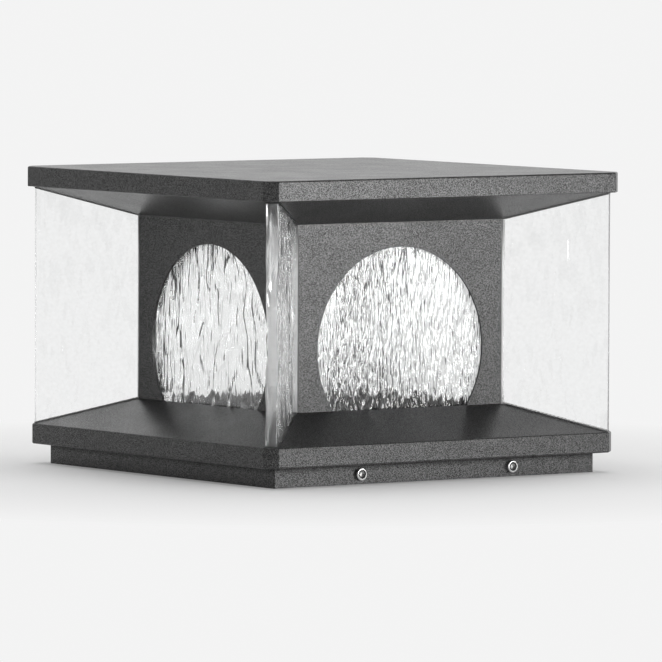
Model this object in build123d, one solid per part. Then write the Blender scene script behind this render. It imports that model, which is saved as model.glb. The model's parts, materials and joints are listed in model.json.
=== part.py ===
from build123d import *
import os
from math import atan2, cos, sqrt

# Square pillar light of folded sheet metal, with four rippled windows and four clear corner fins.
# Millimetres. +Z is up, the origin is the centre of the underside, and -Y is the front.

# Outer form
CAP_SIDE = 300.0
CAP_RIM = 14.0
SOFFIT_DROP = 19.0
COLUMN_SIDE = 188.0
COLUMN_SHOW = 128.0
DECK_RISE = 19.0
DECK_INSET = 2.5
DECK_RIM = 14.0
SKIRT_INSET = 12.0
SKIRT_HEIGHT = 14.0
EDGE_RADIUS = 1.2
HEM_RADIUS = 0.5

# Sheet metal
SHEET = 1.5
CAP_SHEET = 2.0
NEST_GAP = 0.15
SOCKET_DEPTH = 9.0
SOCKET_GAP = 0.2
LEDGE_WIDTH = 19.0
LEDGE_RADIUS = 12.0
SKIRT_FLANGE = 18.0

# Windows and their panes
WINDOW_RADIUS = 70.0
WINDOW_HEAD_GAP = 17.0
WINDOW_SILL = 3.0
PANE_MARGIN = 6.0
PANE_THICKNESS = 5.0
PANE_SEAL = 1.0
PANE_END_GAP = 0.5
SEAL_SETBACK = 1.0
CLIP_WIDTH = 12.0
CLIP_DEPTH = 9.0
CLIP_HEIGHT = 11.0
CLIP_SHEET = 1.5
CLIP_SPACING = 12.0

# Corner fins
FIN_THICKNESS = 10.0
FIN_SEAT_MARGIN = 0.3
FIN_SEAL = 0.8
FIN_INSET = 1.5

# Tie rods
ROD_RADIUS = 2.5
ROD_INSET = 12.0
ROD_PLAY = 0.25
ROD_ENGAGEMENT = 12.0
ROD_TAIL = 4.0
THREAD_GAP = 0.05
BOSS_RADIUS = 6.0
NUT_WIDTH = 8.0
NUT_HEIGHT = 4.0
WASHER_RADIUS = 5.0
WASHER_HEIGHT = 1.0

# Seals and plates across the column's ends
CAP_SEAL = 2.0
CAP_SEAL_WIDTH = 6.0
FLOOR_SEAL = 1.0
FLOOR_PLATE = 2.0
PLATE_INSET = 3.0
TRAY_SHEET = 2.0

# Light source in the cap
SINK_SIDE = 120.0
SINK_BASE = 3.0
SINK_HEADROOM = 3.5
SINK_FIN_THICKNESS = 2.0
SINK_FIN_COUNT = 11
BOARD_MARGIN = 5.0
BOARD_THICKNESS = 1.6
BOARD_SCREW_INSET = 10.0
CHIP_SIDE = 3.0
CHIP_HEIGHT = 0.7
CHIP_PITCH = 24.0
CHIP_ROW = 4
DIFFUSER_MARGIN = 6.0
DIFFUSER_DEPTH = 17.0
DIFFUSER_WALL = 2.0
DIFFUSER_LIP = 7.0
DIFFUSER_CORNER = 14.0
DIFFUSER_EDGE = 6.0

# Driver and terminals in the base
DRIVER_LENGTH = 104.0
DRIVER_WIDTH = 40.0
DRIVER_HEIGHT = 22.0
DRIVER_CORNER = 3.0
DRIVER_TAB = 11.0
DRIVER_TAB_SHEET = 2.5
DRIVER_OFFSET = 38.0
COVER_LENGTH = 64.0
COVER_WIDTH = 44.0
COVER_HEIGHT = 18.0
COVER_WALL = 2.0
COVER_CORNER = 6.0
COVER_OFFSET = 28.0
COVER_EAR = 11.0
TERMINAL_LENGTH = 30.0
TERMINAL_WIDTH = 14.0
TERMINAL_HEIGHT = 9.0
TERMINAL_GAP = 1.0
TERMINAL_WAYS = 3
TERMINAL_BORE = 2.0
SUPPLY_HEX = 14.8
SUPPLY_HEX_HEIGHT = 5.0
SUPPLY_DOME_HEIGHT = 5.0
SUPPLY_DOME_EDGE = 2.0
SUPPLY_THREAD_RADIUS = 6.0
SUPPLY_THREAD_LENGTH = 7.0
SUPPLY_BORE_RADIUS = 3.5
STUD_INSET = 13.0
LEAD_HEX = 13.0
LEAD_HEX_HEIGHT = 5.0
LEAD_THREAD_RADIUS = 4.5
LEAD_THREAD_LENGTH = 8.0
LEAD_BORE_RADIUS = 2.5
EARTH_RADIUS = 2.5
EARTH_LENGTH = 12.0

# Small screws
SCREW_RADIUS = 1.5
SCREW_HEAD_RADIUS = 2.8
SCREW_HEAD_HEIGHT = 1.8
SCREW_HEAD_BEVEL = 0.7
SCREW_SLOT_WIDTH = 0.8
SCREW_SLOT_DEPTH = 0.9
SCREW_PLAY = 0.1

# Rivets between deck and skirt
RIVET_RADIUS = 2.0
RIVET_HEAD_RADIUS = 3.5
RIVET_HEAD_HEIGHT = 1.2
RIVET_BULB_RADIUS = 2.9
RIVET_BULB_HEIGHT = 1.8
RIVET_SPACING = 200.0

# Clamp screws and mounting plate
CLAMP_PITCH = 128.0
CLAMP_RADIUS = 2.5
CLAMP_HOLE_PLAY = 0.25
CLAMP_HEAD_RADIUS = 4.25
CLAMP_HEAD_HEIGHT = 2.8
CLAMP_HEAD_EDGE = 0.7
CLAMP_SOCKET_WIDTH = 4.0
CLAMP_SOCKET_DEPTH = 1.8
CLAMP_REACH = 8.0
CLAMP_TIP_GAP = 0.2
CLAMP_TIP_CHAMFER = 0.6
WELD_NUT_WIDTH = 9.0
WELD_NUT_HEIGHT = 4.0
PLATE_SHEET = 2.5
PLATE_WIDTH = 200.0
PLATE_CORNER = 8.0
UPSTAND_MARGIN = 14.0
UPSTAND_HEADROOM = 1.0
UPSTAND_CORNER = 3.0
LIP_LENGTH = 150.0
LIP_HEIGHT = 8.0
ANCHOR_PITCH = 160.0
ANCHOR_RADIUS = 3.5
CABLE_CUTOUT_LENGTH = 110.0
CABLE_CUTOUT_WIDTH = 100.0
CABLE_CUTOUT_CORNER = 20.0

# Heights, from the underside up
z_deck_low = SKIRT_HEIGHT
z_deck_rim = z_deck_low + DECK_RIM
z_foot = z_deck_rim + DECK_RISE
z_head = z_foot + COLUMN_SHOW
z_cap_low = z_head + SOFFIT_DROP
z_top = z_cap_low + CAP_RIM
z_column_low = z_foot - SOCKET_DEPTH
z_column_high = z_head + SOCKET_DEPTH
z_ceiling = z_top - CAP_SHEET

# Plates stacked outward from the column's two ends
z_floor_top = z_column_low - SHEET - FLOOR_SEAL
z_floor = z_floor_top - FLOOR_PLATE
z_tray = z_column_high + SHEET
z_tray_top = z_tray + TRAY_SHEET

# Plan sizes that follow from the driving ones
seat_leg = (FIN_THICKNESS + 2 * FIN_SEAT_MARGIN) / sqrt(2)
soffit_side = CAP_SIDE - 2 * (CAP_SHEET + NEST_GAP)
deck_side = CAP_SIDE - 2 * DECK_INSET
skirt_side = deck_side - 2 * SKIRT_INSET
opening_side = COLUMN_SIDE - 2 * LEDGE_WIDTH
skirt_opening = skirt_side - 2 * (SHEET + SKIRT_FLANGE)
plate_side = COLUMN_SIDE - 2 * PLATE_INSET
rod_place = COLUMN_SIDE / 2 - ROD_INSET
stud_place = opening_side / 2 - STUD_INSET
diffuser_side = opening_side - 2 * (DIFFUSER_LIP + DIFFUSER_MARGIN)
board_side = diffuser_side - 2 * (DIFFUSER_WALL + BOARD_MARGIN)
pane_face = COLUMN_SIDE / 2 - SHEET - PANE_SEAL
pane_back = pane_face - PANE_THICKNESS
pane_width = 2 * (WINDOW_RADIUS + PANE_MARGIN)
pane_low = z_column_low + SHEET + PANE_END_GAP
pane_high = z_column_high - SHEET - PANE_END_GAP
window_centre = z_head - WINDOW_HEAD_GAP - WINDOW_RADIUS
corners = [(x, y) for x in (-1, 1) for y in (-1, 1)]
quarter_turns = [0, 90, 180, 270]


def clipped_square(side, inset=0.0):
    """Square with its corners clipped to the width of a fin's seat, drawn in by an even inset."""
    half = side / 2 - inset
    flat = half - seat_leg + (2 - sqrt(2)) * inset
    points = []
    for turn in range(4):
        for along in (-flat, flat):
            points.append(Vector(half, along).rotate(Axis.Z, 90 * turn))
    return Polygon(*[(point.X, point.Y) for point in points], align=None)


def prism(sketch, low, high):
    """Upright solid of a plan shape between two heights."""
    return extrude(Pos(0, 0, low) * sketch, high - low)


def block(side, low, high, inset=0.0):
    """Upright solid on a clipped square."""
    return prism(clipped_square(side, inset), low, high)


def hips(low_side, low, high_side, high):
    """Hipped solid between two clipped squares, with a flat strip of even width along each hip."""
    foot = Pos(0, 0, low) * clipped_square(low_side)
    head = Pos(0, 0, high) * clipped_square(high_side)
    return loft([foot, head], ruled=True)


def hole(radius, x, y, low, high):
    """Upright round hole or pin between two heights."""
    return Pos(x, y, low) * Cylinder(radius, high - low, align=(Align.CENTER, Align.CENTER, Align.MIN))


def ledge_opening(low, high):
    """Rounded opening inside the ledges at the column's two ends."""
    return prism(RectangleRounded(opening_side, opening_side, LEDGE_RADIUS), low, high)


def rod_holes(low, high):
    """Clearance holes for the tie rods."""
    return [hole(ROD_RADIUS + ROD_PLAY, sx * rod_place, sy * rod_place, low, high) for sx, sy in corners]


def hex_nut(width, radius, low, high):
    """Hexagon nut with a plain bore."""
    return prism(RegularPolygon(width / 2, 6, major_radius=False) - Circle(radius), low, high)


def small_screw(reach):
    """Pan-head screw that points up from its head, with a cross-wise slot; the head's seat is at zero."""
    head = hole(SCREW_HEAD_RADIUS, 0, 0, -SCREW_HEAD_HEIGHT, 0)
    head = chamfer(head.edges().group_by(Axis.Z)[0], SCREW_HEAD_BEVEL)
    slot = Rectangle(2 * SCREW_HEAD_RADIUS, SCREW_SLOT_WIDTH)
    head -= prism(slot, -SCREW_HEAD_HEIGHT, SCREW_SLOT_DEPTH - SCREW_HEAD_HEIGHT)
    return head + hole(SCREW_RADIUS, 0, 0, 0, reach)


def screw_hole(x, y, low, high):
    """Upright hole for a small screw."""
    return hole(SCREW_RADIUS + SCREW_PLAY, x, y, low, high)


def save(node, *shapes):
    """Writes one node, which holds one solid or a group of like solids."""
    solids = [solid for shape in shapes for solid in shape.solids()]
    export_step(Compound(solids) if len(solids) > 1 else solids[0], f"parts/{node}.step")


# Cap and soffit
def make_top_cap():
    """Folded tray: flat top, straight rim with a rounded hem, rounded top and corner edges."""
    outer = block(CAP_SIDE, z_cap_low, z_top)
    outer = fillet(outer.edges().group_by(Axis.Z)[-1] + outer.edges().filter_by(Axis.Z), EDGE_RADIUS)
    outer = fillet(outer.edges().group_by(Axis.Z)[0], HEM_RADIUS)
    return outer - block(CAP_SIDE, z_cap_low, z_ceiling, CAP_SHEET)


def make_cap_bosses():
    """Threaded bosses under the cap, which bear on the LED tray and take the tie rods."""
    bosses = []
    for sx, sy in corners:
        x, y = sx * rod_place, sy * rod_place
        bore = hole(ROD_RADIUS + THREAD_GAP, x, y, z_tray_top, z_tray_top + ROD_ENGAGEMENT)
        bosses.append(hole(BOSS_RADIUS, x, y, z_tray_top, z_ceiling) - bore)
    return bosses


def collar_block(low, high):
    """Outside of the collar that is welded round an end of the column."""
    return block(COLUMN_SIDE, low, high, -SOCKET_GAP - SHEET)


def collar_room(low, high):
    """Space inside a collar for the end of the column."""
    return block(COLUMN_SIDE, low, high, -SOCKET_GAP)


def make_cap_soffit():
    """Upside-down hipped tray with an upstand inside the cap's rim, open where its collar is welded in."""
    upstand_top = z_ceiling - CAP_SEAL
    slope = atan2(SOFFIT_DROP, (soffit_side - COLUMN_SIDE) / 2)
    lift = SHEET / cos(slope)
    outer = hips(COLUMN_SIDE, z_head, soffit_side, z_cap_low) + block(soffit_side, z_cap_low, upstand_top)
    inner = hips(COLUMN_SIDE, z_head + lift, soffit_side, z_cap_low + lift)
    inner += block(soffit_side, z_cap_low + lift, upstand_top)
    inner &= block(soffit_side, z_head, upstand_top, SHEET)
    return outer - inner - collar_block(z_head, z_tray)


def make_soffit_collar():
    """Socket for the column's head: a wall round it and a ledge above, which carries the LED tray."""
    below = hips(COLUMN_SIDE, z_head, soffit_side, z_cap_low) + block(soffit_side, z_cap_low, z_tray)
    collar = collar_block(z_head, z_tray) & below
    collar -= collar_room(z_head, z_column_high)
    collar -= ledge_opening(z_column_high, z_tray)
    return collar - rod_holes(z_column_high, z_tray)


def make_cap_gasket():
    """Flat seal between the soffit's upstand and the underside of the cap."""
    ring = clipped_square(soffit_side) - clipped_square(soffit_side, CAP_SEAL_WIDTH)
    return prism(ring, z_ceiling - CAP_SEAL, z_ceiling)


# Column
def window_outline(grow=0.0):
    """Round window cut off level just below the deck, seen from the front."""
    sill = z_foot - WINDOW_SILL - grow
    below = sill - (window_centre - WINDOW_RADIUS - grow)
    circle = Pos(0, window_centre) * Circle(WINDOW_RADIUS + grow)
    cut = Pos(0, sill - below / 2) * Rectangle(2 * (WINDOW_RADIUS + grow), below)
    return Plane.XZ * (circle - cut)


def make_column_shell():
    """Folded tube with a round window in each face."""
    shell = block(COLUMN_SIDE, z_column_low, z_column_high)
    shell -= block(COLUMN_SIDE, z_column_low, z_column_high, SHEET)
    window = extrude(window_outline(), COLUMN_SIDE)
    return shell - [Rot(0, 0, turn) * window for turn in quarter_turns]


def make_end_frame(low):
    """Flat frame welded inside an end of the tube, which carries the pane clips."""
    frame = block(COLUMN_SIDE, low, low + SHEET, SHEET)
    frame -= ledge_opening(low, low + SHEET)
    frame -= rod_holes(low, low + SHEET)
    return frame - [place * clip_screw_hole() for place in clip_places()]


def make_window_pane():
    """Front pane; its ripples are too fine for the solid, so both faces are flat."""
    pane = Box(pane_width, PANE_THICKNESS, pane_high - pane_low)
    return Pos(0, -(pane_face + pane_back) / 2, (pane_high + pane_low) / 2) * pane


def make_pane_gasket():
    """Flat frame between the column's wall and the front pane."""
    frame = Box(pane_width, PANE_SEAL, pane_high - pane_low)
    frame = Pos(0, -pane_face - PANE_SEAL / 2, (pane_high + pane_low) / 2) * frame
    return frame - extrude(window_outline(SEAL_SETBACK), COLUMN_SIDE)


def clip_places():
    """Places of the sixteen pane clips: both lower and both upper corners of each pane."""
    across = rod_place - CLIP_SPACING
    middle = (z_column_low + z_column_high) / 2
    upright = Pos(0, 0, 0)
    upside_down = Pos(0, 0, 2 * middle) * Rot(0, 180, 0)
    places = []
    for turn in quarter_turns:
        for flip in (upright, upside_down):
            for x in (-across, across):
                places.append(Rot(0, 0, turn) * flip * Pos(x, 0, z_column_low + SHEET))
    return places


def make_pane_clip():
    """Angle clip: one leg on the column's flange, the other behind the pane."""
    heel = -pane_back
    outline = Polyline(
        (heel, 0),
        (heel + CLIP_DEPTH, 0),
        (heel + CLIP_DEPTH, CLIP_SHEET),
        (heel + CLIP_SHEET, CLIP_SHEET),
        (heel + CLIP_SHEET, CLIP_HEIGHT),
        (heel, CLIP_HEIGHT),
        close=True,
    )
    clip = extrude(Plane.YZ * make_face(outline), CLIP_WIDTH / 2, both=True)
    return clip - clip_screw_hole()


def clip_screw_y():
    """Middle of the clip's flat leg."""
    return -pane_back + (CLIP_DEPTH + CLIP_SHEET) / 2


def clip_screw_hole():
    """Hole through the clip's leg and the flange below it."""
    return screw_hole(0, clip_screw_y(), -SHEET, CLIP_SHEET)


def make_clip_screw():
    """Screw that holds one clip, with its head on the leg."""
    return Pos(0, clip_screw_y(), CLIP_SHEET) * Rot(180, 0, 0) * small_screw(CLIP_SHEET + SHEET)


# Corner fins
def facet_radius(side):
    """Distance from the axis to the clipped corner of a square."""
    return (side - seat_leg) / sqrt(2)


def fin_outlines():
    """Bay between the hips as radius and height, and the fin inside it with room for its seal."""
    root = facet_radius(COLUMN_SIDE)
    deck_corner = facet_radius(deck_side)
    soffit_corner = facet_radius(soffit_side)
    tip = deck_corner - FIN_INSET
    deck_fall = DECK_RISE / (deck_corner - root)
    soffit_climb = SOFFIT_DROP / (soffit_corner - root)
    low_gap = FIN_SEAL * sqrt(1 + deck_fall**2)
    high_gap = FIN_SEAL * sqrt(1 + soffit_climb**2)

    def outline(start, low, high):
        return Polygon(
            (start, z_foot - deck_fall * (start - root) + low),
            (tip, z_foot - deck_fall * (tip - root) + low),
            (tip, z_head + soffit_climb * (tip - root) - high),
            (start, z_head + soffit_climb * (start - root) - high),
            align=None,
        )

    return outline(root, 0, 0), outline(root + FIN_SEAL, low_gap, high_gap)


def on_corner(sketch, turn):
    """Plate of a fin's thickness, standing on the diagonal at a turn on from the back right corner."""
    plate = extrude(Plane.XZ * sketch, FIN_THICKNESS / 2, both=True)
    return Rot(0, 0, 45 + turn) * plate


# Base
def make_base_deck():
    """Slab with a straight rim, a hipped top that is open for its collar, and a return below."""
    slope = atan2(DECK_RISE, (deck_side - COLUMN_SIDE) / 2)
    drop = SHEET / cos(slope)
    outer = block(deck_side, z_deck_low, z_deck_rim) + hips(deck_side, z_deck_rim, COLUMN_SIDE, z_foot)
    corner_edges = outer.edges().filter_by(Axis.Z)
    level_edges = outer.edges().filter_by(Plane.XY).group_by(Axis.Z)
    outer = fillet(corner_edges + level_edges[0] + level_edges[1], EDGE_RADIUS)
    inner = hips(deck_side, z_deck_rim - drop, COLUMN_SIDE, z_foot - drop)
    inner += block(deck_side, z_deck_low + SHEET, z_deck_rim - drop)
    inner &= block(deck_side, z_deck_low, z_foot, SHEET)
    deck = outer - inner - collar_block(z_deck_low, z_foot)
    deck -= prism(Rectangle(skirt_opening, skirt_opening), z_deck_low, z_deck_low + SHEET)
    return deck - [hole(RIVET_RADIUS, x, y, z_deck_low, z_deck_low + SHEET) for x, y in rivet_places()]


def make_deck_collar():
    """Socket for the column's foot: a wall round it and a ledge below, sealed to the floor plate."""
    ledge_low = z_column_low - SHEET
    above = block(deck_side, ledge_low, z_deck_rim) + hips(deck_side, z_deck_rim, COLUMN_SIDE, z_foot)
    collar = collar_block(ledge_low, z_foot) & above
    collar -= collar_room(z_column_low, z_foot)
    collar -= ledge_opening(ledge_low, z_column_low)
    return collar - rod_holes(ledge_low, z_column_low)


def make_plinth_skirt():
    """Folded skirt with an inward top flange, which the deck is riveted to."""
    outer = prism(Rectangle(skirt_side, skirt_side), 0, SKIRT_HEIGHT)
    outer = fillet(outer.edges().filter_by(Axis.Z), EDGE_RADIUS)
    inside = skirt_side - 2 * SHEET
    skirt = outer - prism(Rectangle(inside, inside), 0, SKIRT_HEIGHT - SHEET)
    skirt -= prism(Rectangle(skirt_opening, skirt_opening), 0, SKIRT_HEIGHT)
    skirt -= [hole(RIVET_RADIUS, x, y, SKIRT_HEIGHT - SHEET, SKIRT_HEIGHT) for x, y in rivet_places()]
    bore = Cylinder(CLAMP_RADIUS + CLAMP_HOLE_PLAY, 2 * SHEET)
    return skirt - [place * bore for place in clamp_places().values()]


def rivet_places():
    """Two rivets in each side of the skirt's flange."""
    row = skirt_side / 2 - SHEET - SKIRT_FLANGE / 2
    across = RIVET_SPACING / 2
    places = [(x, y) for x in (-across, across) for y in (-row, row)]
    return places + [(y, x) for x, y in places]


def make_skirt_rivets():
    """Blind rivets: flat head below, upset end above."""
    seat = SKIRT_HEIGHT - SHEET
    grip_top = z_deck_low + SHEET
    rivets = []
    for x, y in rivet_places():
        rivet = hole(RIVET_HEAD_RADIUS, x, y, seat - RIVET_HEAD_HEIGHT, seat)
        rivet += hole(RIVET_RADIUS, x, y, seat, grip_top)
        rivet += hole(RIVET_BULB_RADIUS, x, y, grip_top, grip_top + RIVET_BULB_HEIGHT)
        rivets.append(rivet)
    return rivets


# Tie rods and the column's floor
def make_tie_rods():
    """Threaded rods from the cap's bosses down to the nuts under the floor plate."""
    low = z_floor - WASHER_HEIGHT - NUT_HEIGHT - ROD_TAIL
    high = z_tray_top + ROD_ENGAGEMENT
    return [hole(ROD_RADIUS, sx * rod_place, sy * rod_place, low, high) for sx, sy in corners]


def make_rod_washers():
    """Flat washers under the floor plate."""
    ring = prism(Circle(WASHER_RADIUS) - Circle(ROD_RADIUS + ROD_PLAY), z_floor - WASHER_HEIGHT, z_floor)
    return [Pos(sx * rod_place, sy * rod_place) * ring for sx, sy in corners]


def make_rod_nuts():
    """Nuts that draw the whole stack together."""
    seat = z_floor - WASHER_HEIGHT
    nut = hex_nut(NUT_WIDTH, ROD_RADIUS + THREAD_GAP, seat - NUT_HEIGHT, seat)
    return [Pos(sx * rod_place, sy * rod_place) * nut for sx, sy in corners]


def make_floor_gasket():
    """Flat seal between the deck's ledge and the floor plate."""
    seal_top = z_floor_top + FLOOR_SEAL
    seal = block(plate_side, z_floor_top, seal_top) - ledge_opening(z_floor_top, seal_top)
    return seal - rod_holes(z_floor_top, seal_top)


def make_floor_plate():
    """Plate that closes the column below and carries the driver and terminals."""
    plate = block(plate_side, z_floor, z_floor_top) - rod_holes(z_floor, z_floor_top)
    plate -= hole(LEAD_THREAD_RADIUS + SCREW_PLAY, stud_place, 0, z_floor, z_floor_top)
    screws = driver_screw_places() + cover_screw_places()
    return plate - [screw_hole(x, y, z_floor, z_floor_top) for x, y in screws]


# Light source
def board_screw_places():
    """Corners of the LED board."""
    place = board_side / 2 - BOARD_SCREW_INSET
    return [(sx * place, sy * place) for sx, sy in corners]


def diffuser_screw_places():
    """Middle of each side of the diffuser's lip."""
    row = diffuser_side / 2 + DIFFUSER_LIP / 2
    return [(row, 0), (0, row), (-row, 0), (0, -row)]


def make_led_tray():
    """Plate across the column's head that carries the LED board below and the heat sink above."""
    tray = block(plate_side, z_tray, z_tray_top) - rod_holes(z_tray, z_tray_top)
    screws = board_screw_places() + diffuser_screw_places()
    return tray - [screw_hole(x, y, z_tray, z_tray_top) for x, y in screws]


def make_heat_sink():
    """Finned plate on the tray, inside the cap."""
    base_top = z_tray_top + SINK_BASE
    sink = prism(Rectangle(SINK_SIDE, SINK_SIDE), z_tray_top, base_top)
    pitch = (SINK_SIDE - SINK_FIN_THICKNESS) / (SINK_FIN_COUNT - 1)
    fin = prism(Rectangle(SINK_FIN_THICKNESS, SINK_SIDE), base_top, z_ceiling - SINK_HEADROOM)
    for index in range(SINK_FIN_COUNT):
        sink += Pos(pitch * (index - (SINK_FIN_COUNT - 1) / 2)) * fin
    return sink - [screw_hole(x, y, z_tray_top, base_top) for x, y in board_screw_places()]


def make_led_board():
    """Metal-core board under the tray."""
    low = z_tray - BOARD_THICKNESS
    board = prism(RectangleRounded(board_side, board_side, SCREW_HEAD_RADIUS), low, z_tray)
    return board - [screw_hole(x, y, low, z_tray) for x, y in board_screw_places()]


def make_led_chips():
    """Grid of chips on the board, facing down."""
    top = z_tray - BOARD_THICKNESS
    chip = prism(Rectangle(CHIP_SIDE, CHIP_SIDE), top - CHIP_HEIGHT, top)
    return [place * chip for place in GridLocations(CHIP_PITCH, CHIP_PITCH, CHIP_ROW, CHIP_ROW)]


def make_board_screws():
    """Screws through board and tray into the heat sink."""
    screw = small_screw(BOARD_THICKNESS + TRAY_SHEET + SINK_BASE)
    return [Pos(x, y, z_tray - BOARD_THICKNESS) * screw for x, y in board_screw_places()]


def make_led_diffuser():
    """Opal pan under the LEDs, with a lip that is screwed to the tray."""
    bottom = z_tray - DIFFUSER_DEPTH
    lip_low = z_tray - DIFFUSER_WALL
    outline = RectangleRounded(diffuser_side, diffuser_side, DIFFUSER_CORNER)
    pan = prism(outline, bottom, z_tray)
    pan = fillet(pan.edges().group_by(Axis.Z)[0], DIFFUSER_EDGE)
    lip_side = diffuser_side + 2 * DIFFUSER_LIP
    pan += prism(RectangleRounded(lip_side, lip_side, DIFFUSER_CORNER + DIFFUSER_LIP), lip_low, z_tray)
    inside = prism(offset(outline, -DIFFUSER_WALL), bottom + DIFFUSER_WALL, z_tray)
    inside = fillet(inside.edges().group_by(Axis.Z)[0], DIFFUSER_EDGE - DIFFUSER_WALL)
    return pan - inside - [screw_hole(x, y, lip_low, z_tray) for x, y in diffuser_screw_places()]


def make_diffuser_screws():
    """Screws through the diffuser's lip into the tray."""
    screw = small_screw(DIFFUSER_WALL + TRAY_SHEET)
    return [Pos(x, y, z_tray - DIFFUSER_WALL) * screw for x, y in diffuser_screw_places()]


# Driver and terminals under the floor plate
def driver_screw_places():
    """One screw in the tab at each end of the driver."""
    reach = DRIVER_LENGTH / 2 + DRIVER_TAB / 2
    return [(-reach, -DRIVER_OFFSET), (reach, -DRIVER_OFFSET)]


def make_led_driver():
    """Potted driver case with a fixing tab at each end."""
    case = prism(Rectangle(DRIVER_LENGTH, DRIVER_WIDTH), z_floor - DRIVER_HEIGHT, z_floor)
    sides = case.edges().filter_by(Axis.Z) + case.edges().group_by(Axis.Z)[0]
    case = fillet(sides, DRIVER_CORNER)
    tabs = RectangleRounded(DRIVER_LENGTH + 2 * DRIVER_TAB, DRIVER_WIDTH / 2, DRIVER_CORNER)
    case += prism(tabs, z_floor - DRIVER_TAB_SHEET, z_floor)
    driver = Pos(0, -DRIVER_OFFSET) * case
    tab_low = z_floor - DRIVER_TAB_SHEET
    return driver - [screw_hole(x, y, tab_low, z_floor) for x, y in driver_screw_places()]


def make_driver_screws():
    """Screws through the driver's tabs into the floor plate."""
    screw = small_screw(DRIVER_TAB_SHEET + FLOOR_PLATE)
    return [Pos(x, y, z_floor - DRIVER_TAB_SHEET) * screw for x, y in driver_screw_places()]


def cover_screw_places():
    """One screw in the ear at each end of the terminal cover."""
    reach = COVER_LENGTH / 2 + COVER_EAR / 2
    return [(-reach, COVER_OFFSET), (reach, COVER_OFFSET)]


def make_terminal_cover():
    """Moulded cover over the terminals, with a hole below for the supply gland."""
    low = z_floor - COVER_HEIGHT
    shell = prism(Rectangle(COVER_LENGTH, COVER_WIDTH), low, z_floor)
    shell = fillet(shell.edges().filter_by(Axis.Z), COVER_CORNER)
    ears = RectangleRounded(COVER_LENGTH + 2 * COVER_EAR, COVER_WIDTH / 3, COVER_CORNER)
    shell += prism(ears, z_floor - COVER_WALL, z_floor)
    inside = Rectangle(COVER_LENGTH - 2 * COVER_WALL, COVER_WIDTH - 2 * COVER_WALL)
    hollow = prism(inside, low + COVER_WALL, z_floor)
    shell -= fillet(hollow.edges().filter_by(Axis.Z), COVER_CORNER - COVER_WALL)
    shell -= hole(SUPPLY_THREAD_RADIUS + SCREW_PLAY, 0, 0, low, low + COVER_WALL)
    cover = Pos(0, COVER_OFFSET) * shell
    return cover - [screw_hole(x, y, z_floor - COVER_WALL, z_floor) for x, y in cover_screw_places()]


def make_cover_screws():
    """Screws through the cover's ears into the floor plate."""
    screw = small_screw(COVER_WALL + FLOOR_PLATE)
    return [Pos(x, y, z_floor - COVER_WALL) * screw for x, y in cover_screw_places()]


def make_terminal_block():
    """Block with a row of wire holes, fixed to the floor plate beside the gland's end."""
    body = prism(Rectangle(TERMINAL_LENGTH, TERMINAL_WIDTH), z_floor - TERMINAL_HEIGHT, z_floor)
    pitch = TERMINAL_LENGTH / TERMINAL_WAYS
    wire_hole = Rot(90, 0, 0) * Cylinder(TERMINAL_BORE, TERMINAL_WIDTH)
    for place in GridLocations(pitch, 0, TERMINAL_WAYS, 1):
        body -= Pos(0, 0, z_floor - TERMINAL_HEIGHT / 2) * place * wire_hole
    inner_wall = COVER_OFFSET + COVER_WIDTH / 2 - COVER_WALL
    return Pos(0, inner_wall - TERMINAL_GAP - TERMINAL_WIDTH / 2) * body


def make_supply_gland():
    """Cable gland through the bottom of the terminal cover, open downward for the supply cable."""
    seat = z_floor - COVER_HEIGHT
    waist = seat - SUPPLY_HEX_HEIGHT
    low = waist - SUPPLY_DOME_HEIGHT
    high = seat + SUPPLY_THREAD_LENGTH
    gland = prism(RegularPolygon(SUPPLY_HEX / 2, 6, major_radius=False), waist, seat)
    dome = hole(SUPPLY_HEX / 2, 0, 0, low, waist)
    gland += fillet(dome.edges().group_by(Axis.Z)[0], SUPPLY_DOME_EDGE)
    gland += hole(SUPPLY_THREAD_RADIUS, 0, 0, seat, high)
    gland -= hole(SUPPLY_BORE_RADIUS, 0, 0, low, high)
    return Pos(0, COVER_OFFSET) * gland


def make_lead_gland():
    """Sealed gland that lets the LED leads through the floor plate."""
    low = z_floor_top - LEAD_THREAD_LENGTH
    high = z_floor_top + LEAD_HEX_HEIGHT
    gland = prism(RegularPolygon(LEAD_HEX / 2, 6, major_radius=False), z_floor_top, high)
    gland += hole(LEAD_THREAD_RADIUS, 0, 0, low, z_floor_top)
    gland -= hole(LEAD_BORE_RADIUS, 0, 0, low, high)
    return Pos(stud_place) * gland


def make_lead_locknut():
    """Locknut of the lead gland, under the floor plate."""
    nut = hex_nut(LEAD_HEX, LEAD_THREAD_RADIUS + THREAD_GAP, z_floor - NUT_HEIGHT, z_floor)
    return Pos(stud_place) * nut


def make_earth_stud():
    """Stud welded under the floor plate."""
    return hole(EARTH_RADIUS, -stud_place, 0, z_floor - EARTH_LENGTH, z_floor)


def make_earth_nut():
    """Nut on the earth stud."""
    nut = hex_nut(NUT_WIDTH, EARTH_RADIUS + THREAD_GAP, z_floor - NUT_HEIGHT, z_floor)
    return Pos(-stud_place) * nut


# Clamp screws and mounting plate
def clamp_places():
    """Places of the clamp screws on the skirt's outer face, each with +Z pointing out of the face."""
    places = {}
    for side, y in (("front", -1), ("back", 1)):
        for hand, x in (("left", -1), ("right", 1)):
            spot = Pos(x * CLAMP_PITCH / 2, y * skirt_side / 2, SKIRT_HEIGHT / 2)
            places[f"{side}_{hand}"] = spot * Rot(-90 * y, 0, 0)
    return places


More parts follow.
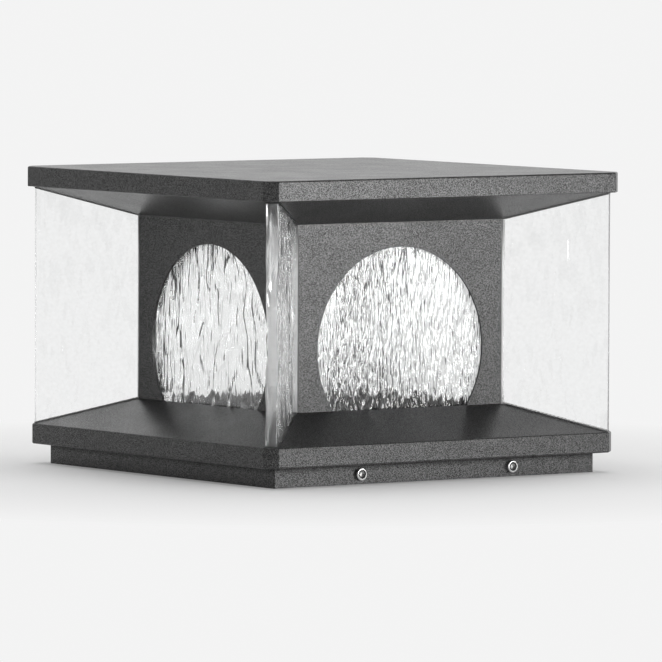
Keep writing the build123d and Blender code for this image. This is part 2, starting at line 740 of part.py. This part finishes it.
def make_clamp_screw():
    """Low-head socket screw; its head's seat is at zero and its shank points down."""
    head = hole(CLAMP_HEAD_RADIUS, 0, 0, 0, CLAMP_HEAD_HEIGHT)
    head = fillet(head.edges().group_by(Axis.Z)[-1], CLAMP_HEAD_EDGE)
    socket = RegularPolygon(CLAMP_SOCKET_WIDTH / 2, 6, major_radius=False)
    head -= prism(socket, CLAMP_HEAD_HEIGHT - CLAMP_SOCKET_DEPTH, CLAMP_HEAD_HEIGHT)
    shank = hole(CLAMP_RADIUS, 0, 0, -CLAMP_REACH, 0)
    return head + chamfer(shank.edges().group_by(Axis.Z)[0], CLAMP_TIP_CHAMFER)


def make_weld_nuts():
    """Square nuts welded inside the skirt, which the clamp screws run in."""
    nut = Rectangle(WELD_NUT_WIDTH, WELD_NUT_WIDTH) - Circle(CLAMP_RADIUS + THREAD_GAP)
    nut = prism(nut, -SHEET - WELD_NUT_HEIGHT, -SHEET)
    return [place * nut for place in clamp_places().values()]


def folded_edge(length, height):
    """Turned-up edge of the mounting plate, with its upper corners rounded."""
    edge = Box(length, PLATE_SHEET, height, align=(Align.CENTER, Align.MIN, Align.MIN))
    return fillet(edge.edges().filter_by(Axis.Y).group_by(Axis.Z)[-1], UPSTAND_CORNER)


def make_mounting_plate():
    """Plate for the pillar's top, with front and back upstands that the clamp screws press on."""
    depth = skirt_side - 2 * (CLAMP_REACH + CLAMP_TIP_GAP)
    plate = prism(Rectangle(PLATE_WIDTH, depth), 0, PLATE_SHEET)
    plate = fillet(plate.edges().filter_by(Axis.Z), PLATE_CORNER)
    upstand = folded_edge(CLAMP_PITCH + 2 * UPSTAND_MARGIN, SKIRT_HEIGHT - SHEET - UPSTAND_HEADROOM)
    lip = folded_edge(LIP_LENGTH, LIP_HEIGHT)
    for turn in (0, 180):
        plate += Rot(0, 0, turn) * Pos(0, -depth / 2) * upstand
        plate += Rot(0, 0, turn + 90) * Pos(0, -PLATE_WIDTH / 2) * lip
    cutout = RectangleRounded(CABLE_CUTOUT_LENGTH, CABLE_CUTOUT_WIDTH, CABLE_CUTOUT_CORNER)
    plate -= prism(cutout, 0, PLATE_SHEET)
    anchor = ANCHOR_PITCH / 2
    return plate - [hole(ANCHOR_RADIUS, sx * anchor, sy * anchor, 0, PLATE_SHEET) for sx, sy in corners]


os.makedirs("parts", exist_ok=True)

save("top_cap", make_top_cap())
save("cap_bosses", *make_cap_bosses())
save("cap_gasket", make_cap_gasket())
save("cap_soffit", make_cap_soffit())
save("soffit_collar", make_soffit_collar())

save("column_shell", make_column_shell())
save("end_frames", make_end_frame(z_column_low), make_end_frame(z_column_high - SHEET))
for face, turn in zip(("front", "right", "back", "left"), quarter_turns):
    save(f"window_pane_{face}", Rot(0, 0, turn) * make_window_pane())
save("pane_gaskets", *[Rot(0, 0, turn) * make_pane_gasket() for turn in quarter_turns])
save("pane_clips", *[place * make_pane_clip() for place in clip_places()])
save("clip_screws", *[place * make_clip_screw() for place in clip_places()])

bay, fin = fin_outlines()
for corner, turn in zip(("back_right", "back_left", "front_left", "front_right"), quarter_turns):
    save(f"corner_fin_{corner}", on_corner(fin, turn))
save("fin_gaskets", *[on_corner(bay - fin, turn) for turn in quarter_turns])

save("base_deck", make_base_deck())
save("deck_collar", make_deck_collar())
save("plinth_skirt", make_plinth_skirt())
save("skirt_rivets", *make_skirt_rivets())

save("tie_rods", *make_tie_rods())
save("rod_washers", *make_rod_washers())
save("rod_nuts", *make_rod_nuts())
save("floor_gasket", make_floor_gasket())
save("floor_plate", make_floor_plate())

save("led_tray", make_led_tray())
save("heat_sink", make_heat_sink())
save("led_board", make_led_board())
save("led_chips", *make_led_chips())
save("board_screws", *make_board_screws())
save("led_diffuser", make_led_diffuser())
save("diffuser_screws", *make_diffuser_screws())

save("led_driver", make_led_driver())
save("driver_screws", *make_driver_screws())
save("terminal_cover", make_terminal_cover())
save("cover_screws", *make_cover_screws())
save("terminal_block", make_terminal_block())
save("supply_gland", make_supply_gland())
save("lead_gland", make_lead_gland())
save("lead_locknut", make_lead_locknut())
save("earth_stud", make_earth_stud())
save("earth_nut", make_earth_nut())

for spot, place in clamp_places().items():
    save(f"clamp_screw_{spot}", place * make_clamp_screw())
save("weld_nuts", *make_weld_nuts())
save("mounting_plate", make_mounting_plate())
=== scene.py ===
import json
from math import cos, radians, sin, sqrt

import bpy
import numpy as np
from mathutils import Matrix, Vector


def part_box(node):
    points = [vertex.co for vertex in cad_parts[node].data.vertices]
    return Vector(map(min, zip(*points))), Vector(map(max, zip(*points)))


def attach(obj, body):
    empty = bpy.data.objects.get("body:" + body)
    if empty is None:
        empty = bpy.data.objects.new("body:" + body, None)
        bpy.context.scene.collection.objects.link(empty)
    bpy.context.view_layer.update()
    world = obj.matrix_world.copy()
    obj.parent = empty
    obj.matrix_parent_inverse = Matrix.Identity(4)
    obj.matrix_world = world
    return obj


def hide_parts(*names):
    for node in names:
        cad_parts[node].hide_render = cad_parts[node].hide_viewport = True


# Looks of a square pillar light: charcoal powder coat, rippled clear glass and bright screws.
# Metres, in the frame of the solids: +Z up, -Y the front.

MM = 0.001

# Camera, as found from the photograph's edges
IMAGE_SIDE = 662
CAMERA_AZIMUTH = radians(-35.75)
CAMERA_ELEVATION = radians(3.53)
CAMERA_ROLL = radians(0.22)
CAMERA_DISTANCE = 5.825
CAMERA_REACH = 100
TARGET_HEIGHT = 88.15 * MM
TARGET_SIDE = 7.64 * MM
FOCAL_PIXELS = 8376.55
CENTRE_PIXEL = (331.67, 341.19)
SENSOR_WIDTH = 36.0

# Room: tones behind the light and in front of it, the turn between them, as the cosine to the
# view, and a factor on them over the elevation in degrees
BACKGROUND = 0.9
FRONT_OF_ROOM = 0.08
ROOM_TURN = (0.0, 0.8)
SKY_BAND = ((0, 1.0), (8, 0.85), (17, 1.6), (27, 1.6), (36, 0.3))

# Floor: its glow rises over the fade, away from the light, and takes the room's tone over the turn
FLOOR_RADIUS = 9.0
FLOOR_SIDES = 96
FLOOR_TONES = (0.86, 0.88)
FLOOR_PATCH = 0.4
FLOOR_ROUGHNESS = 0.9
FLOOR_GLOW = (0.22, 1)
FLOOR_FADE = (0.16, 0.5)
FLOOR_TURN = (4.5, 6.5)

# Softboxes: place, width, height and power in watts
SOFTBOXES = {
    "key": ((0.4, -1.35, 0.18), 1.1, 0.3, 11),
    "overhead": ((0.1, 0.2, 2.2), 2.0, 2.0, 32),
}

# Turn of every grain, so that no flat face lies along its cells, and the range its noise fills
GRAIN_TURN = (0.5, 0.7, 0.3)
NOISE_LOW = 0.3
NOISE_HIGH = 0.7

# Powder coat: tone and specular level run over their own parts of the grain's range
COAT_GRAIN = 0.48 * MM
COAT_TONES = (0.02, 0.066)
COAT_TONE_RANGE = (0.47, 0.6)
COAT_GLOSS = (0.12, 1.0)
COAT_GLOSS_RANGE = (0.45, 0.57)
COAT_PATCH = 30 * MM
COAT_ROUGHNESS = (0.3, 0.36)
COAT_DEPTH = 0.1 * MM
COAT_RELIEF = 0.6
# Painted shade under the slab's overhang: the height over which the coat's colour and specular
# level darken towards the slab, and what is left of them at the top
SHADE_HEIGHT = 5.0 * MM
SHADE_TONE = 0.5
SHADE_GLOSS = 0.1

# Cast glass, with the roughness of a fin's ground outer edge
GLASS_TINTS = ((0.92, 0.925, 0.925), (0.98, 0.985, 0.985))
GLASS_MOTTLE = 2.5 * MM
GLASS_IOR = 1.5
GLASS_HAZE = (0.0, 0.02)
GLASS_HAZE_PATCH = 12 * MM
GLASS_GRAIN = 1.1 * MM
GLASS_STRETCH = (1, 1, 0.25)
GLASS_DEPTH = 0.05 * MM
GROUND_TIP = 0.3

# Fin seals: the root is pale at the middle height as painted light, and darker away from it as
# painted shade, and ends where |x * y| passes these square metres
SEAL_GRAIN = 3 * MM
SEAL_DEPTH = 0.05 * MM
SEAL_ROUGHNESS = (0.3, 0.5)
SEAL_IOR = 1.41
SEAL_ROOT_END = (0.0082, 0.0086)
SEAL_ROOT_LIGHT_AND_SHADE = (0.95, 0.28)
SEAL_LIT_MIDDLE = 103 * MM
SEAL_SHADE_FADE = (42 * MM, 66 * MM)
SEAL_SEAT_TONE = 0.15
SEAL_CLEAR = 0.9

# Steel screws: bright metal, with a dark ring on a clamp screw's face, inside two radii
STEEL_GRAIN = 2 * MM
STEEL_STRETCH = (1, 0.1, 1)
STEEL_DEPTH = 0.01 * MM
STEEL_ROUGHNESS = (0.14, 0.26)
SCREW_BRIGHT = 0.65
SCREW_BLACK = 0.03
SCREW_RING = (2.95 * MM, 3.15 * MM)
SCREW_FACE = 0.4 * MM

# Ripples of the cast glass: (length across, length along, height, steepness of the steps in it)
CALM_WAVES = ((0.5 * MM, 3.5 * MM, 0.06 * MM, 0.5), (3.5 * MM, 9.0 * MM, 0.3 * MM, 5.0))
LIVELY_WAVES = ((0.36 * MM, 2.2 * MM, 0.1 * MM, 0.5), (3.5 * MM, 12.0 * MM, 0.15 * MM, 5.0))
FIN_WAVES = ((0.65 * MM, 6.0 * MM, 0.07 * MM, 0.5), (2.2 * MM, 10.0 * MM, 0.14 * MM, 0.5))
DEEP_FIN_WAVES = ((0.65 * MM, 8.0 * MM, 0.36 * MM, 0.5), (2.2 * MM, 14.0 * MM, 0.5 * MM, 0.5))
# Waves and seed of each pane and fin
PANES = {
    "front": (LIVELY_WAVES, 100),
    "right": (CALM_WAVES, 110),
    "back": (CALM_WAVES, 120),
    "left": (CALM_WAVES, 130),
}
FINS = {
    "back_right": (FIN_WAVES, 200),
    "back_left": (FIN_WAVES, 210),
    "front_left": (DEEP_FIN_WAVES, 360),
    "front_right": (FIN_WAVES, 230),
}
# Steps of their grids, across and along, and the deepest dents
PANE_STEP = (0.3 * MM, 1.2 * MM)
FIN_STEP = (0.45 * MM, 1.6 * MM)
PANE_DENT = 2.0 * MM
FIN_DENT = 2.6 * MM
SHARP_EDGE = radians(50)
# How near a fin's end its corner points lie
END_DEPTH = 0.1 * MM

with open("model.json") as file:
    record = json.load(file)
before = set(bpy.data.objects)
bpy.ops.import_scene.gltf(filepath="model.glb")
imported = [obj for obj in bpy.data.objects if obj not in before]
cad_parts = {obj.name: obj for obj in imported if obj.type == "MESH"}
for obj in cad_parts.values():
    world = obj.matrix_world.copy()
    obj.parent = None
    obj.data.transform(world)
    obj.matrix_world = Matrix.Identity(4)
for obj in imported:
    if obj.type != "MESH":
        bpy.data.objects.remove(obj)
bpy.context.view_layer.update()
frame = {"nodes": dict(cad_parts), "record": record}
nodes = frame["nodes"]


# Shader helpers
def grey(value):
    return (value, value, value)


def opaque(colour):
    """Colour with full alpha, as a socket takes it."""
    return (*colour, 1)


def new_material(name):
    """Material with its node tree and shader."""
    material = bpy.data.materials.new(name)
    material.use_nodes = True
    tree = material.node_tree
    return material, tree, tree.nodes["Principled BSDF"]


def put(tree, value, socket):
    """Link from another socket, or a plain value, on a socket."""
    if isinstance(value, bpy.types.NodeSocket):
        tree.links.new(value, socket)
    else:
        socket.default_value = value


def calculate(tree, operation, *values):
    """Result of a Math node."""
    node = tree.nodes.new("ShaderNodeMath")
    node.operation = operation
    for value, socket in zip(values, node.inputs):
        put(tree, value, socket)
    return node.outputs["Value"]


def calculate_vector(tree, operation, *values, output="Vector"):
    """Result of a Vector Math node."""
    node = tree.nodes.new("ShaderNodeVectorMath")
    node.operation = operation
    for value, socket in zip(values, node.inputs):
        put(tree, value, socket)
    return node.outputs[output]


def mix_colours(tree, factor, first, second, blend="MIX"):
    """Colour of a Mix node."""
    node = tree.nodes.new("ShaderNodeMixRGB")
    node.blend_type = blend
    for name, value in (("Fac", factor), ("Color1", first), ("Color2", second)):
        put(tree, value, node.inputs[name])
    return node.outputs["Color"]


def mix_shaders(tree, factor, first, second):
    """Two shaders, mixed on the material's output."""
    node = tree.nodes.new("ShaderNodeMixShader")
    tree.links.new(factor, node.inputs["Fac"])
    tree.links.new(first, node.inputs[1])
    tree.links.new(second, node.inputs[2])
    tree.links.new(node.outputs["Shader"], tree.nodes["Material Output"].inputs["Surface"])


def object_place(tree):
    """Place of a point in the frame's coordinates."""
    return tree.nodes.new("ShaderNodeTexCoord").outputs["Object"]


def split(tree, vector):
    """X, Y and Z of a vector, by name."""
    node = tree.nodes.new("ShaderNodeSeparateXYZ")
    tree.links.new(vector, node.inputs["Vector"])
    return node.outputs


def noise(tree, grain, stretch=(1, 1, 1), detail=2.0):
    """Noise in the frame's coordinates whose grain is a length."""
    mapping = tree.nodes.new("ShaderNodeMapping")
    texture = tree.nodes.new("ShaderNodeTexNoise")
    mapping.inputs["Scale"].default_value = stretch
    mapping.inputs["Rotation"].default_value = GRAIN_TURN
    texture.inputs["Scale"].default_value = 1 / grain
    texture.inputs["Detail"].default_value = detail
    tree.links.new(object_place(tree), mapping.inputs["Vector"])
    tree.links.new(mapping.outputs["Vector"], texture.inputs["Vector"])
    return texture.outputs["Fac"]


def colour_stops(tree, factor, stops):
    """Colour that runs through stops, each a place in the factor's range with its colour."""
    node = tree.nodes.new("ShaderNodeValToRGB")
    elements = node.color_ramp.elements
    while len(elements) < len(stops):
        elements.new(0.5)
    for element, (place, colour) in zip(elements, stops):
        element.position = place
        element.color = opaque(colour)
    tree.links.new(factor, node.inputs["Fac"])
    return node.outputs["Color"]


def ramp(tree, factor, low, high, start=NOISE_LOW, end=NOISE_HIGH):
    """Colour that runs from low to high over part of the factor's range."""
    return colour_stops(tree, factor, ((start, low), (end, high)))


def spread(tree, factor, low, high, start=NOISE_LOW, end=NOISE_HIGH):
    """Number that runs from low to high over part of the factor's range."""
    node = tree.nodes.new("ShaderNodeMapRange")
    node.inputs["From Min"].default_value = start
    node.inputs["From Max"].default_value = end
    node.inputs["To Min"].default_value = low
    node.inputs["To Max"].default_value = high
    tree.links.new(factor, node.inputs["Value"])
    return node.outputs["Result"]


def relief(tree, shader, height, depth, strength=1.0):
    """Bump of a real depth."""
    bump = tree.nodes.new("ShaderNodeBump")
    bump.inputs["Strength"].default_value = strength
    bump.inputs["Distance"].default_value = depth
    tree.links.new(height, bump.inputs["Height"])
    tree.links.new(bump.outputs["Normal"], shader.inputs["Normal"])


# Materials, one for each slot of the record
def powder_coat(name, painted_shade=None):
    """Charcoal coat with the sandy grain of a textured powder, with painted shade that darkens its
    colour and gloss up a given height.
    """
    material, tree, shader = new_material(name)
    grain = noise(tree, COAT_GRAIN, detail=0.0)
    colour = ramp(tree, grain, *map(grey, COAT_TONES), *COAT_TONE_RANGE)
    gloss = spread(tree, grain, *COAT_GLOSS, *COAT_GLOSS_RANGE)
    # Painted shade: colour and specular level fall towards the top of the given heights
    if painted_shade:
        height = split(tree, object_place(tree))["Z"]
        shade_darkening = spread(tree, height, 1.0, SHADE_TONE, *painted_shade)
        shade_dulling = spread(tree, height, 1.0, SHADE_GLOSS, *painted_shade)
        colour = calculate_vector(tree, "MULTIPLY", colour, shade_darkening)
        gloss = calculate(tree, "MULTIPLY", gloss, shade_dulling)
    tree.links.new(colour, shader.inputs["Base Color"])
    tree.links.new(gloss, shader.inputs["Specular IOR Level"])
    patches = noise(tree, COAT_PATCH)
    tree.links.new(spread(tree, patches, *COAT_ROUGHNESS), shader.inputs["Roughness"])
    relief(tree, shader, grain, COAT_DEPTH, COAT_RELIEF)
    return material


def clear_glass(name):
    """Clear cast glass, a little soft where the ripples were fire-polished, and shadowless."""
    material, tree, shader = new_material(name)
    mottle = noise(tree, GLASS_MOTTLE)
    tree.links.new(ramp(tree, mottle, *GLASS_TINTS), shader.inputs["Base Color"])
    shader.inputs["Transmission Weight"].default_value = 1.0
    shader.inputs["IOR"].default_value = GLASS_IOR
    haze = spread(tree, noise(tree, GLASS_HAZE_PATCH), *GLASS_HAZE)
    ground = tree.nodes.new("ShaderNodeAttribute")
    ground.attribute_name = "ground"
    roughness = calculate(tree, "ADD", haze, ground.outputs["Fac"])
    tree.links.new(roughness, shader.inputs["Roughness"])
    relief(tree, shader, noise(tree, GLASS_GRAIN, GLASS_STRETCH), GLASS_DEPTH)
    shadow = tree.nodes.new("ShaderNodeLightPath").outputs["Is Shadow Ray"]
    clear = tree.nodes.new("ShaderNodeBsdfTransparent")
    mix_shaders(tree, shadow, shader.outputs["BSDF"], clear.outputs["BSDF"])
    return material


def clear_seal(name):
    """Fin seal of silicone: its root is pale at the middle height as painted light and darker
    towards its ends as painted shade, and past the root it is so clear that its dark seat shows.
    """
    material, tree, shader = new_material(name)
    place = split(tree, object_place(tree))
    reach = calculate(tree, "ABSOLUTE", calculate(tree, "MULTIPLY", place["X"], place["Y"]))
    # Painted light and shade on the root: pale at the middle height, darker towards the top and
    # bottom
    away = calculate(tree, "ABSOLUTE", calculate(tree, "SUBTRACT", place["Z"], SEAL_LIT_MIDDLE))
    to_shaded_ends = spread(tree, away, 0, 1, *SEAL_SHADE_FADE)
    root_light_and_shade = ramp(tree, to_shaded_ends, *map(grey, SEAL_ROOT_LIGHT_AND_SHADE), 0, 1)
    past_root = spread(tree, reach, 0, 1, *SEAL_ROOT_END)
    tone = mix_colours(tree, past_root, root_light_and_shade, opaque(grey(SEAL_SEAT_TONE)))
    tree.links.new(tone, shader.inputs["Base Color"])
    clearness = spread(tree, reach, 0.0, SEAL_CLEAR, *SEAL_ROOT_END)
    tree.links.new(clearness, shader.inputs["Transmission Weight"])
    shader.inputs["IOR"].default_value = SEAL_IOR
    texture = noise(tree, SEAL_GRAIN)
    tree.links.new(spread(tree, texture, *SEAL_ROUGHNESS), shader.inputs["Roughness"])
    relief(tree, shader, texture, SEAL_DEPTH)
    return material


def turned_steel(name):
    """Stainless screws, with a dark face between the bright rim and the bright socket."""
    material, tree, shader = new_material(name)
    shader.inputs["Metallic"].default_value = 1.0
    low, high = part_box("clamp_screw_back_right")
    face_middle = ((low[0] + high[0]) / 2, high[1], (low[2] + high[2]) / 2)
    mirrored = calculate_vector(tree, "ABSOLUTE", object_place(tree))
    offset = calculate_vector(tree, "SUBTRACT", mirrored, face_middle)
    across = calculate_vector(tree, "MULTIPLY", offset, (1, 0, 1))
    radius = calculate_vector(tree, "LENGTH", across, output="Value")
    to_rim = spread(tree, radius, 0, 1, *SCREW_RING)
    face_tone = ramp(tree, to_rim, grey(SCREW_BLACK), grey(SCREW_BRIGHT), 0, 1)
    on_face = spread(tree, split(tree, offset)["Y"], 0, 1, -SCREW_FACE, -SCREW_FACE / 2)
    tone = mix_colours(tree, on_face, opaque(grey(SCREW_BRIGHT)), face_tone)
    tree.links.new(tone, shader.inputs["Base Color"])
    texture = noise(tree, STEEL_GRAIN, STEEL_STRETCH)
    tree.links.new(spread(tree, texture, *STEEL_ROUGHNESS), shader.inputs["Roughness"])
    relief(tree, shader, texture, STEEL_DEPTH)
    return material


def grained(name, low, high, roughness, grain, depth, metallic=0.0, stretch=(1, 1, 1)):
    """Plain finish with a grain in its colour, gloss and surface."""
    material, tree, shader = new_material(name)
    shader.inputs["Metallic"].default_value = metallic
    texture = noise(tree, grain, stretch)
    tree.links.new(ramp(tree, texture, low, high), shader.inputs["Base Color"])
    tree.links.new(spread(tree, texture, *roughness), shader.inputs["Roughness"])
    relief(tree, shader, texture, depth)
    return material


# Plain finishes, as grained() takes them
GRAINED = {
    "black_rubber": (grey(0.012), grey(0.028), (0.6, 0.8), 1.5 * MM, 0.05 * MM),
    "zinc_steel": (grey(0.4), grey(0.55), (0.25, 0.42), 6 * MM, 0.01 * MM, 1.0),
    "bare_aluminium": (grey(0.66), grey(0.8), (0.3, 0.45), 4 * MM, 0.01 * MM, 1.0, (1, 0.05, 1)),
    "white_board": (grey(0.8), grey(0.88), (0.3, 0.4), 5 * MM, 0.01 * MM),
    "led_phosphor": ((0.75, 0.5, 0.06), (0.85, 0.62, 0.1), (0.3, 0.4), 1 * MM, 0.02 * MM),
    "opal_plastic": (grey(0.78), grey(0.84), (0.4, 0.5), 8 * MM, 0.02 * MM),
    "driver_case": (grey(0.03), grey(0.06), (0.5, 0.65), 1 * MM, 0.04 * MM),
    "black_nylon": (grey(0.018), grey(0.04), (0.45, 0.6), 2 * MM, 0.03 * MM),
    "terminal_plastic": (grey(0.68), grey(0.78), (0.4, 0.5), 3 * MM, 0.02 * MM),
}
materials = {name: grained(name, *finish) for name, finish in GRAINED.items()}
materials["charcoal_coat"] = powder_coat("charcoal_coat")
materials["rippled_glass"] = clear_glass("rippled_glass")
materials["clear_silicone"] = clear_seal("clear_silicone")
materials["stainless_steel"] = turned_steel("stainless_steel")

slots = {part["node"]: part["material_slot"] for part in frame["record"]["subparts"]}
for node, cad_object in nodes.items():
    cad_object.data.materials.clear()
    cad_object.data.materials.append(materials[slots[node]])
# The skirt takes the coat with painted shade just under the slab's overhang
skirt_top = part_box("plinth_skirt")[1][2]
shaded_coat = powder_coat("shaded_coat", (skirt_top - SHADE_HEIGHT, skirt_top))
nodes["plinth_skirt"].data.materials[0] = shaded_coat


# Rippled glass
def waves(shape, step, layers, deepest, seed):
    """Dents of wind-ripple waves on a grid: seeded noise, smoothed more along than across."""
    random = np.random.default_rng(seed)
    along_frequency = 2 * np.pi * np.fft.fftfreq(shape[0], step[1])[:, None]
    across_frequency = 2 * np.pi * np.fft.fftfreq(shape[1], step[0])[None, :]
    total = np.zeros(shape)
    for across, along, height, steepness in layers:
        smooth = np.exp(-0.5 * ((across_frequency * across) ** 2 + (along_frequency * along) ** 2))
        field = np.fft.ifft2(np.fft.fft2(random.standard_normal(shape)) * smooth).real
        steps_in_field = np.tanh(steepness * field / field.std())
        total += height * steps_in_field / steps_in_field.std()
    return deepest / 2 * (1 + np.tanh(total / (deepest / 2)))


def rippled_plate(name, base, normal, half_thickness, front_dents, back_dents, ground_tip=0.0):
    """Closed plate over a grid of base points, with each face dented by its ripples."""
    rows, columns = base.shape[:2]
    front = base + normal * (half_thickness - front_dents)[..., None]
    back = base - normal * (half_thickness - back_dents)[..., None]
    points = np.concatenate([front.reshape(-1, 3), back.reshape(-1, 3)])
    index = np.arange(rows * columns).reshape(rows, columns)
    corners = [index[:-1, :-1], index[:-1, 1:], index[1:, 1:], index[1:, :-1]]
    quads = np.stack(corners, axis=-1).reshape(-1, 4)
    rim = np.concatenate([index[0, :-1], index[:-1, -1], index[-1, :0:-1], index[:0:-1, 0]])
    following = np.roll(rim, -1)
    offset = rows * columns
    sides = np.stack([rim, rim + offset, following + offset, following], axis=-1)
    faces = np.concatenate([quads, quads[:, ::-1] + offset, sides])
    mesh = bpy.data.meshes.new(name)
    mesh.from_pydata(points.tolist(), [], faces.tolist())
    ground = np.zeros(len(faces), dtype=np.float32)
    tip_start = 2 * len(quads) + columns - 1
    ground[tip_start:tip_start + rows - 1] = ground_tip
    mesh.attributes.new("ground", "FLOAT", "FACE").data.foreach_set("value", ground)
    mesh.shade_smooth()
    mesh.set_sharp_from_angle(angle=SHARP_EDGE)
    mesh.materials.append(materials["rippled_glass"])
    plate = bpy.data.objects.new(name, mesh)
    bpy.context.scene.collection.objects.link(plate)
    return plate


def stand_for(plate, node):
    """The plate is shown in place of a node of the lamp."""
    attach(plate, "lamp")
    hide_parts(node)


def steps(length, step):
    """Number of grid points on a length."""
    return int(round(length / step)) + 1


def add_pane(face, layers, seed):
    """Pane with vertical ripples on both faces, filling its solid's box."""
    node = f"window_pane_{face}"
    low, high = (np.array(corner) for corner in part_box(node))
    middle = (low + high) / 2
    size = high - low
    shade_darkening = int(np.argmin(size[:2]))
    across = 1 - shade_darkening
    shape = (steps(size[2], PANE_STEP[1]), steps(size[across], PANE_STEP[0]))
    outward = np.zeros(3)
    outward[shade_darkening] = np.sign(middle[shade_darkening])
    sideways = np.cross((0, 0, 1), outward)
    heights = np.linspace(low[2], high[2], shape[0])
    along, over = np.meshgrid(heights, np.linspace(-0.5, 0.5, shape[1]), indexing="ij")
    base = np.zeros((*shape, 3))
    base += over[..., None] * size[across] * sideways
    base[..., shade_darkening] = middle[shade_darkening]
    base[..., 2] = along
    dents = [waves(shape, PANE_STEP, layers, PANE_DENT, seed + side) for side in (0, 1)]
    stand_for(rippled_plate(f"rippled_{node}", base, outward, size[shade_darkening] / 2, *dents), node)


def add_fin(corner, layers, seed):
    """Corner fin with vertical ripples, on its solid's four-sided outline."""
    node = f"corner_fin_{corner}"
    points = np.array([vertex.co for vertex in nodes[node].data.vertices])
    diagonal = np.sign(points.mean(axis=0)) * (1, 1, 0) / sqrt(2)
    sideways = np.cross((0, 0, 1), diagonal)
    reach = points @ diagonal
    thickness = np.ptp(points @ sideways)
    ends = (reach.min(), reach.max())
    edges = []
    for end in ends:
        heights = points[np.abs(reach - end) < END_DEPTH, 2]
        edges.append((heights.min(), heights.max()))
    (root_low, root_high), (tip_low, tip_high) = edges
    shape = (steps(tip_high - tip_low, FIN_STEP[1]), steps(ends[1] - ends[0], FIN_STEP[0]))
    up, out = np.meshgrid(np.linspace(0, 1, shape[0]), np.linspace(0, 1, shape[1]), indexing="ij")
    bottom = root_low + out * (tip_low - root_low)
    top = root_high + out * (tip_high - root_high)
    base = (ends[0] + out * (ends[1] - ends[0]))[..., None] * diagonal
    base[..., 2] = bottom + up * (top - bottom)
    dents = [waves(shape, FIN_STEP, layers, FIN_DENT, seed + side) for side in (0, 1)]
    name = f"rippled_{node}"
    stand_for(rippled_plate(name, base, -sideways, thickness / 2, *dents, GROUND_TIP), node)


for face, (layers, seed) in PANES.items():
    add_pane(face, layers, seed)
for corner, (layers, seed) in FINS.items():
    add_fin(corner, layers, seed)


# Camera
def view_axes():
    """Right, up and back directions of the level camera."""
    back = Vector((
        sin(CAMERA_AZIMUTH) * cos(CAMERA_ELEVATION),
        -cos(CAMERA_AZIMUTH) * cos(CAMERA_ELEVATION),
        sin(CAMERA_ELEVATION),
    ))
    right = Vector((cos(CAMERA_AZIMUTH), sin(CAMERA_AZIMUTH), 0))
    return right, back.cross(right), back


def add_camera():
    """Camera in the photograph's place, rolled and shifted as it was."""
    right, up, back = view_axes()
    target = Vector((0, 0, TARGET_HEIGHT)) + TARGET_SIDE * right
    rolled = cos(CAMERA_ROLL) * right + sin(CAMERA_ROLL) * up
    place = Matrix((rolled, back.cross(rolled), back)).transposed().to_4x4()
    place.translation = target + CAMERA_DISTANCE * back
    data = bpy.data.cameras.new("camera")
    data.sensor_width = SENSOR_WIDTH
    data.lens = FOCAL_PIXELS / IMAGE_SIDE * SENSOR_WIDTH
    data.shift_x = 0.5 - CENTRE_PIXEL[0] / IMAGE_SIDE
    data.shift_y = CENTRE_PIXEL[1] / IMAGE_SIDE - 0.5
    data.clip_end = CAMERA_REACH
    camera = bpy.data.objects.new("camera", data)
    camera.matrix_world = place
    bpy.context.scene.collection.objects.link(camera)
    bpy.context.scene.camera = camera


# Studio
def room_tone(tree, direction):
    """Tone of the room in a direction: bright behind the light, darker towards the camera."""
    facing = calculate_vector(tree, "DOT_PRODUCT", direction, -view_axes()[2], output="Value")
    share = spread(tree, facing, 0, 1, *ROOM_TURN)
    return ramp(tree, share, grey(FRONT_OF_ROOM), grey(BACKGROUND), 0, 1)


def sky_band(tree, direction):
    """Factor over the height in the sky: a bright band under a darker ceiling."""
    stops = [(sin(radians(elevation)), grey(tone)) for elevation, tone in SKY_BAND]
    return colour_stops(tree, split(tree, direction)["Z"], stops)


def add_world():
    """White backdrop behind the light, and a darker room in front."""
    world = bpy.data.worlds.new("studio")
    bpy.context.scene.world = world
    world.use_nodes = True
    tree = world.node_tree
    direction = tree.nodes.new("ShaderNodeTexCoord").outputs["Generated"]
    room, sky = room_tone(tree, direction), sky_band(tree, direction)
    tone = mix_colours(tree, 1, room, sky, "MULTIPLY")
    tree.links.new(tone, tree.nodes["Background"].inputs["Color"])


def add_floor():
    """Pale floor that takes the light's shadow and fades into the backdrop."""
    material, tree, shader = new_material("pale_floor")
    shader.inputs["Roughness"].default_value = FLOOR_ROUGHNESS
    texture = noise(tree, FLOOR_PATCH)
    tree.links.new(ramp(tree, texture, *map(grey, FLOOR_TONES)), shader.inputs["Base Color"])
    place = object_place(tree)
    distance = calculate_vector(tree, "LENGTH", place, output="Value")
    direction = calculate_vector(tree, "NORMALIZE", place)
    turn = spread(tree, distance, 0, 1, *FLOOR_TURN)
    tone = mix_colours(tree, turn, opaque(grey(BACKGROUND)), room_tone(tree, direction))
    glow = tree.nodes.new("ShaderNodeEmission")
    tree.links.new(tone, glow.inputs["Color"])
    fade = spread(tree, distance, *FLOOR_GLOW, *FLOOR_FADE)
    mix_shaders(tree, fade, shader.outputs["BSDF"], glow.outputs["Emission"])
    bpy.ops.mesh.primitive_circle_add(vertices=FLOOR_SIDES, radius=FLOOR_RADIUS, fill_type="NGON")
    floor = bpy.context.object
    floor.name = "floor"
    floor.data.materials.append(material)


def add_softbox(name, place, width, height, power):
    """Lamp that faces the light's middle."""
    data = bpy.data.lights.new(name, "AREA")
    data.shape = "RECTANGLE"
    data.size = width
    data.size_y = height
    data.energy = power
    lamp = bpy.data.objects.new(name, data)
    lamp.location = place
    away = Vector(place) - Vector((0, 0, TARGET_HEIGHT))
    lamp.rotation_euler = away.to_track_quat("Z", "Y").to_euler()
    bpy.context.scene.collection.objects.link(lamp)


add_camera()
add_world()
add_floor()
for name, setting in SOFTBOXES.items():
    add_softbox(name, *setting)

bpy.context.scene.view_settings.view_transform = "Standard"
